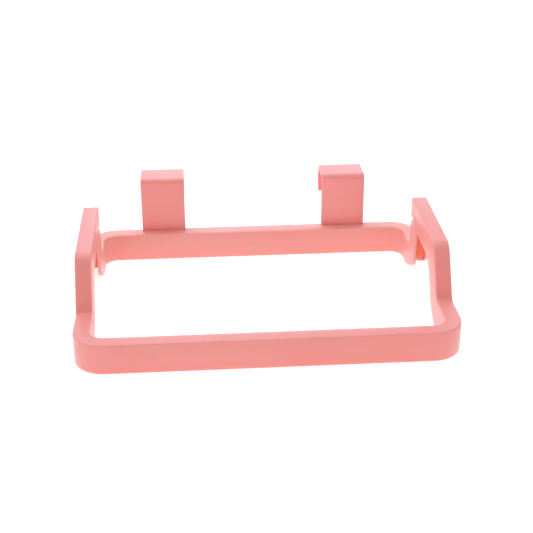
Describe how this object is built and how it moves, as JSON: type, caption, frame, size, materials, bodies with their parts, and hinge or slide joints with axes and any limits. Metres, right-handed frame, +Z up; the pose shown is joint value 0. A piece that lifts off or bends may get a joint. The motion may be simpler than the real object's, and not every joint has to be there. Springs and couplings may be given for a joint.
{
  "type": "over-door bag holder",
  "caption": "Moulded plastic ring with raised side arms that hangs from a cabinet door by two hooks and holds a bag open; its front loop folds up.",
  "frame": {"origin": "middle of the back bar's rear face, which lies against the door", "axes": "+X to the right as seen from the front, +Y into the door, +Z up"},
  "size_m": [0.22, 0.1835, 0.054],
  "materials": {
    "frame_plastic": "satin moulded polypropylene",
    "loop_plastic": "satin moulded polypropylene",
    "hook_plastic": "satin moulded polypropylene",
    "pin_plastic": "satin moulded polypropylene"
  },
  "bodies": {
    "back": {"back_frame": "frame_plastic", "door_hook_left": "hook_plastic", "door_hook_right": "hook_plastic", "hinge_pin_left": "pin_plastic", "hinge_pin_right": "pin_plastic"},
    "loop": {"front_loop": "loop_plastic"}
  },
  "joints": [
    {"name": "loop_fold", "type": "hinge", "parent": "back", "child": "loop", "pos_m": [0, -0.0468, 0.0218], "axis": [-1, 0, 0], "range_deg": [0, 90]}
  ]
}
